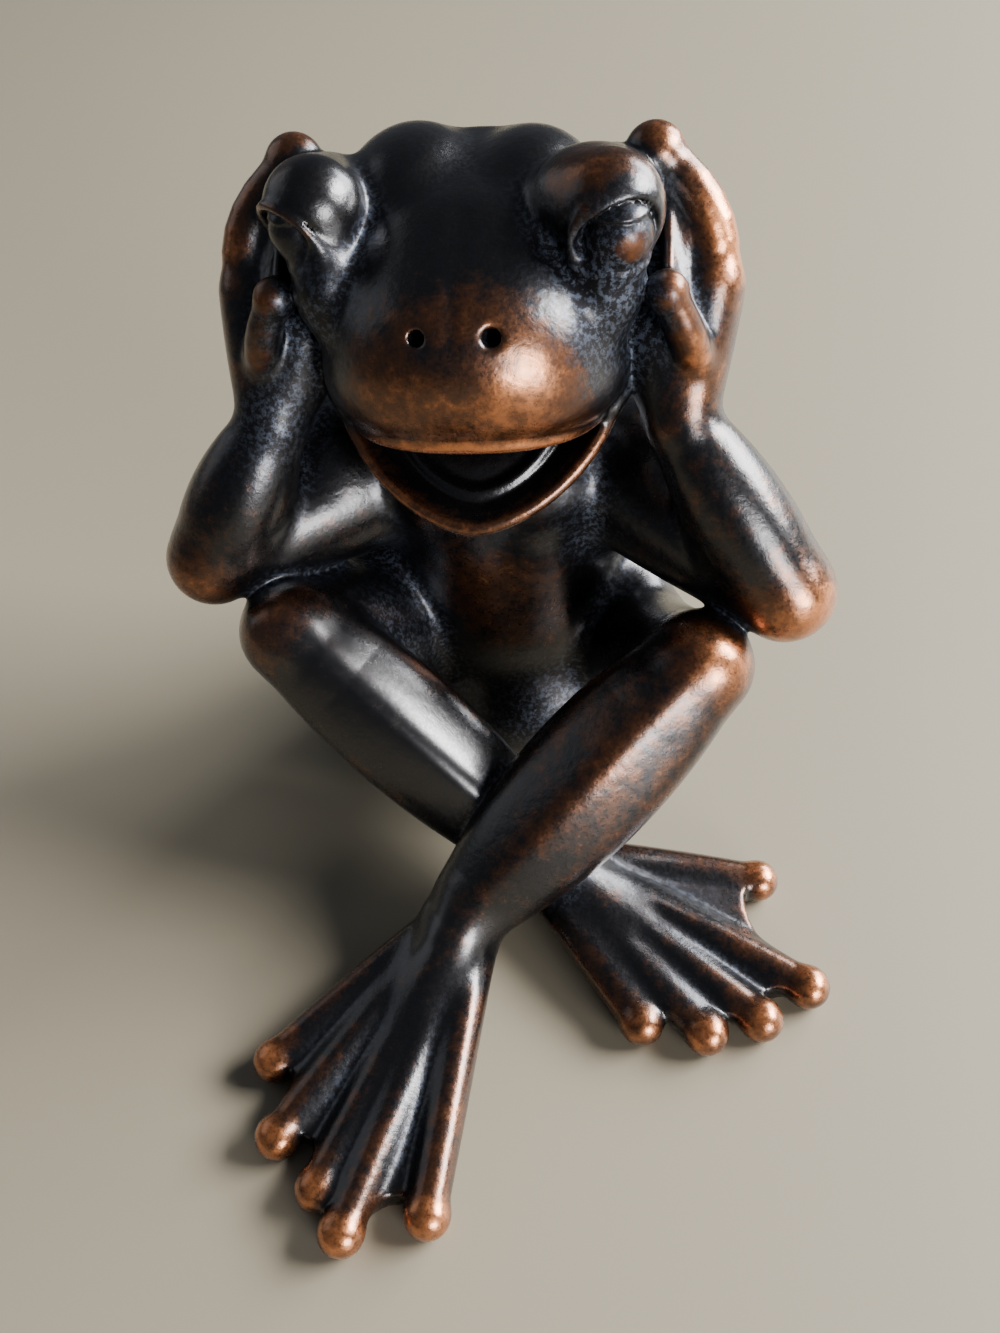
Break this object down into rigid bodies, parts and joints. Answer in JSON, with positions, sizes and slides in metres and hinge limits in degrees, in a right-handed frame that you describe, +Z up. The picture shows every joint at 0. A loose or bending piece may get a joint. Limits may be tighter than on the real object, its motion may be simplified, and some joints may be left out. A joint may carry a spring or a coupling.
{
  "type": "frog figurine",
  "caption": "Seated frog ornament with crossed webbed feet, elbows on its knees, hands over its ears and a wide open grin, in a dark rubbed-bronze finish.",
  "frame": {"origin": "middle of the flat seat face, on the surface the frog sits on", "axes": "+Z up, -Y the way the frog looks, +X to the frog's left"},
  "size_m": [0.0884, 0.1171, 0.0968],
  "materials": {
    "bronze_finish": "cold-cast bronze resin: near-black brown patina, rubbed through to copper on lips, eyelids, knuckles and ball tips, waxed to a satin gloss",
    "steel": "plain drawn wire"
  },
  "bodies": {
    "root": {"torso": "bronze_finish", "head": "bronze_finish", "lower_jaw": "bronze_finish", "left_arm": "bronze_finish", "right_arm": "bronze_finish", "left_leg": "bronze_finish", "right_leg": "bronze_finish", "left_foot": "bronze_finish", "right_foot": "bronze_finish", "neck_dowel": "steel", "shoulder_dowels": "steel", "hip_dowels": "steel", "ankle_dowels": "steel"}
  },
  "joints": []
}
